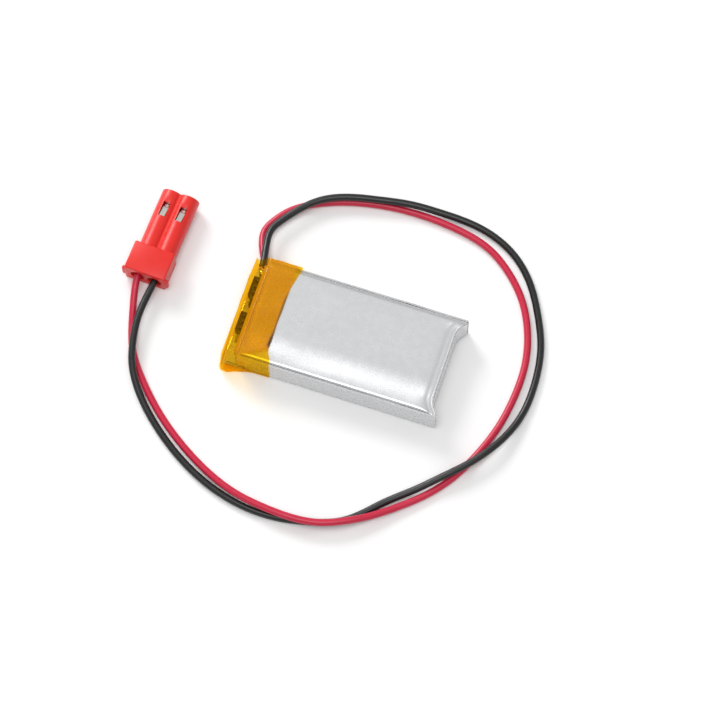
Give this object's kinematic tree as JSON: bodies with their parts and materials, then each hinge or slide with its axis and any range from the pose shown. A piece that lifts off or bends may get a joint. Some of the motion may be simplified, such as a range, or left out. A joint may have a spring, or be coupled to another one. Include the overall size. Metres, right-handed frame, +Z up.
{
  "type": "lipo battery pack",
  "caption": "Single-cell lithium polymer pouch battery with a protection board under amber tape, a red and a black lead, and a two-pole plug.",
  "frame": {"origin": "under the middle of the cell and its tape, on the surface that the pack lies on", "axes": "+X along the cell from its taped end to its folded end, +Y across it towards the side where the leads leave, +Z up, out of the drawn face"},
  "size_m": [0.0598, 0.0507, 0.0049],
  "materials": {
    "pouch": "satin aluminium laminate",
    "cathode": "black coating on aluminium foil",
    "anode": "graphite coating on copper foil",
    "separator": "thin porous film",
    "closing_tape": "glossy tape",
    "aluminium": "rolled strip",
    "nickel": "rolled nickel strip",
    "film": "translucent film",
    "board": "fibreglass board with solder mask",
    "insulator": "fish paper",
    "chip": "moulded epoxy",
    "capacitor": "fired ceramic",
    "solder": "bright solder",
    "tape": "glossy amber film",
    "red_insulation": "extruded insulation",
    "black_insulation": "extruded insulation",
    "copper": "tinned copper strands",
    "nylon": "moulded nylon",
    "tinned": "tinned bronze sheet"
  },
  "bodies": {
    "root": {"pouch_drawn_half": "pouch", "pouch_flat_half": "pouch", "cathode_strip": "cathode", "anode_strip": "anode", "separator_inner": "separator", "separator_outer": "separator", "roll_closing_tape": "closing_tape", "positive_tab": "aluminium", "negative_tab": "nickel", "positive_tab_seal": "film", "negative_tab_seal": "film", "circuit_board": "board", "board_insulator": "insulator", "protection_chip": "chip", "switch_chip": "chip", "positive_weld_plate": "nickel", "negative_weld_plate": "nickel", "supply_resistor": "chip", "sense_resistor": "chip", "filter_capacitor": "capacitor", "positive_solder_joint": "solder", "negative_solder_joint": "solder", "polyimide_tape": "tape", "red_lead": "red_insulation", "black_lead": "black_insulation", "red_strands_board_end": "copper", "black_strands_board_end": "copper", "red_strands_plug_end": "copper", "black_strands_plug_end": "copper", "connector_housing": "nylon", "positive_contact": "tinned", "negative_contact": "tinned"}
  },
  "joints": []
}
